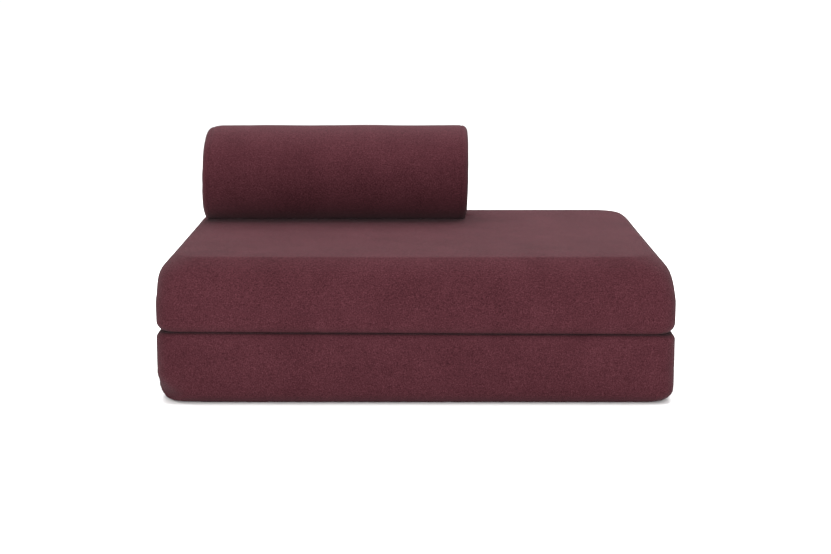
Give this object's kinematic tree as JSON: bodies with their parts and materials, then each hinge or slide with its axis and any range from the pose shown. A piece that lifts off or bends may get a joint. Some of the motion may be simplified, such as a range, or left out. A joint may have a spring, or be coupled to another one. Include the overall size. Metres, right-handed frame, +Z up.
{
  "type": "futon mattress",
  "caption": "Folding foam futon mattress: two stacked padded halves hinged along the back, with a loose round bolster, zipped burgundy wool-felt covers.",
  "frame": {"origin": "on the floor, under the middle of the folded mattress", "axes": "+X to the mattress's right as seen from the open front, +Y to the hinged back, +Z up"},
  "size_m": [1.4078, 1.0012, 0.6763],
  "materials": {
    "cover_fabric": "matte",
    "hinge_strip": "matte",
    "wadding": "matte",
    "foam": "matte",
    "zip_tape": "matte",
    "zip_chain": "satin",
    "zip_metal": "satin"
  },
  "bodies": {
    "lower_half": {"lower_foam_core": "foam", "lower_wadding_top": "wadding", "lower_wadding_base": "wadding", "lower_cover_top": "cover_fabric", "lower_cover_band": "cover_fabric", "lower_cover_base": "cover_fabric", "lower_zip_tape": "zip_tape", "lower_zip_chain": "zip_chain", "lower_hinge_leaf": "hinge_strip"},
    "upper_half": {"upper_foam_core": "foam", "upper_wadding_top": "wadding", "upper_wadding_base": "wadding", "upper_cover_top": "cover_fabric", "upper_cover_band": "cover_fabric", "upper_cover_base": "cover_fabric", "upper_zip_tape": "zip_tape", "upper_zip_chain": "zip_chain", "upper_hinge_leaf": "hinge_strip"},
    "bolster": {"bolster_foam_core": "foam", "bolster_wadding": "wadding", "bolster_cover_tube": "cover_fabric", "bolster_end_left": "cover_fabric", "bolster_end_right": "cover_fabric", "bolster_zip_tape": "zip_tape", "bolster_zip_chain": "zip_chain"},
    "lower_slider": {"lower_zip_slider": "zip_metal"},
    "lower_pull": {"lower_zip_pull": "zip_metal"},
    "upper_slider": {"upper_zip_slider": "zip_metal"},
    "upper_pull": {"upper_zip_pull": "zip_metal"},
    "bolster_slider": {"bolster_zip_slider": "zip_metal"},
    "bolster_pull": {"bolster_zip_pull": "zip_metal"}
  },
  "joints": [
    {"name": "fold", "type": "hinge", "parent": "lower_half", "child": "upper_half", "pos_m": [0, 0.5015, 0.1925], "axis": [-1, 0, 0], "range_deg": [0, 180]},
    {"name": "bolster_carry", "type": "hinge", "parent": "lower_half", "child": "bolster", "pos_m": [-0.2405, 0.9785, 0.33865], "axis": [-1, 0, 0], "range_deg": [0, 180]},
    {"name": "lower_zip_run", "type": "slide", "parent": "lower_half", "child": "lower_slider", "axis": [0, 1, 0], "range_m": [0, 0.622]},
    {"name": "lower_pull_turn", "type": "hinge", "parent": "lower_slider", "child": "lower_pull", "pos_m": [-0.7053, -0.311, 0.096], "axis": [0, 0, 1], "range_deg": [0, 180]},
    {"name": "upper_zip_run", "type": "slide", "parent": "upper_half", "child": "upper_slider", "axis": [0, 1, 0], "range_m": [0, 0.622]},
    {"name": "upper_pull_turn", "type": "hinge", "parent": "upper_slider", "child": "upper_pull", "pos_m": [-0.7053, -0.311, 0.289], "axis": [0, 0, 1], "range_deg": [0, 180]},
    {"name": "bolster_zip_run", "type": "slide", "parent": "bolster", "child": "bolster_slider", "axis": [1, 0, 0], "range_m": [0, 0.602]},
    {"name": "bolster_pull_turn", "type": "hinge", "parent": "bolster_slider", "child": "bolster_pull", "pos_m": [-0.5415, 0.4273, 0.5308], "axis": [0, 0, 1], "range_deg": [0, 180]}
  ],
  "couplings": [
    {"joint": "bolster_carry", "follows": "fold", "ratio": 1}
  ]
}
